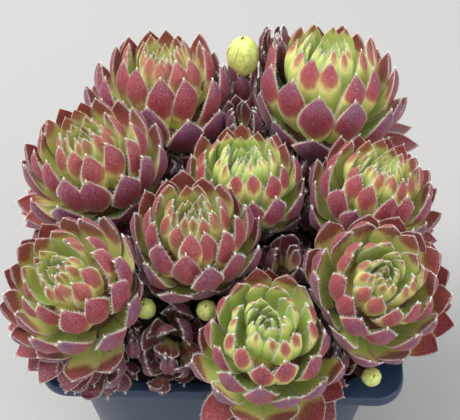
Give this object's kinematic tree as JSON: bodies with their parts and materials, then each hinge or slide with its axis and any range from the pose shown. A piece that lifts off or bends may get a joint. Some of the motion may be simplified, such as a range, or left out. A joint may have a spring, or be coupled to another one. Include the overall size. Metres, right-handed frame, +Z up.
{
  "type": "potted houseleek plant",
  "caption": "Mound of houseleek rosettes (hens and chicks) with young offsets on short runners, growing in compost in a square plastic nursery pot.",
  "frame": {"origin": "middle of the pot's underside, on the floor", "axes": "+Z up, -Y towards the pot's front, +X to its right"},
  "size_m": [0.1113, 0.1259, 0.1219],
  "materials": {
    "pot_plastic": "blue-black moulded plastic, semi-matte",
    "compost": "dark brown peat compost, matte and granular",
    "leaf_burgundy": "fleshy leaves, burgundy with green bases and pale hairy margins, satin",
    "leaf_green": "fleshy leaves, lime green with red-brown tips and pale hairy margins, satin",
    "offset_yellow_green": "downy young leaves, pale yellow-green, matte"
  },
  "bodies": {
    "root": {"pot": "pot_plastic", "compost": "compost", "rosette_back_left": "leaf_burgundy", "rosette_back_right": "leaf_burgundy", "rosette_left": "leaf_burgundy", "rosette_middle": "leaf_green", "rosette_right": "leaf_burgundy", "rosette_front_middle": "leaf_burgundy", "rosette_front_left": "leaf_burgundy", "rosette_front_right": "leaf_burgundy", "rosette_front": "leaf_green", "offset_back": "offset_yellow_green", "offset_front_left": "offset_yellow_green", "offset_front_right": "offset_yellow_green", "offset_right": "offset_yellow_green"}
  },
  "joints": []
}
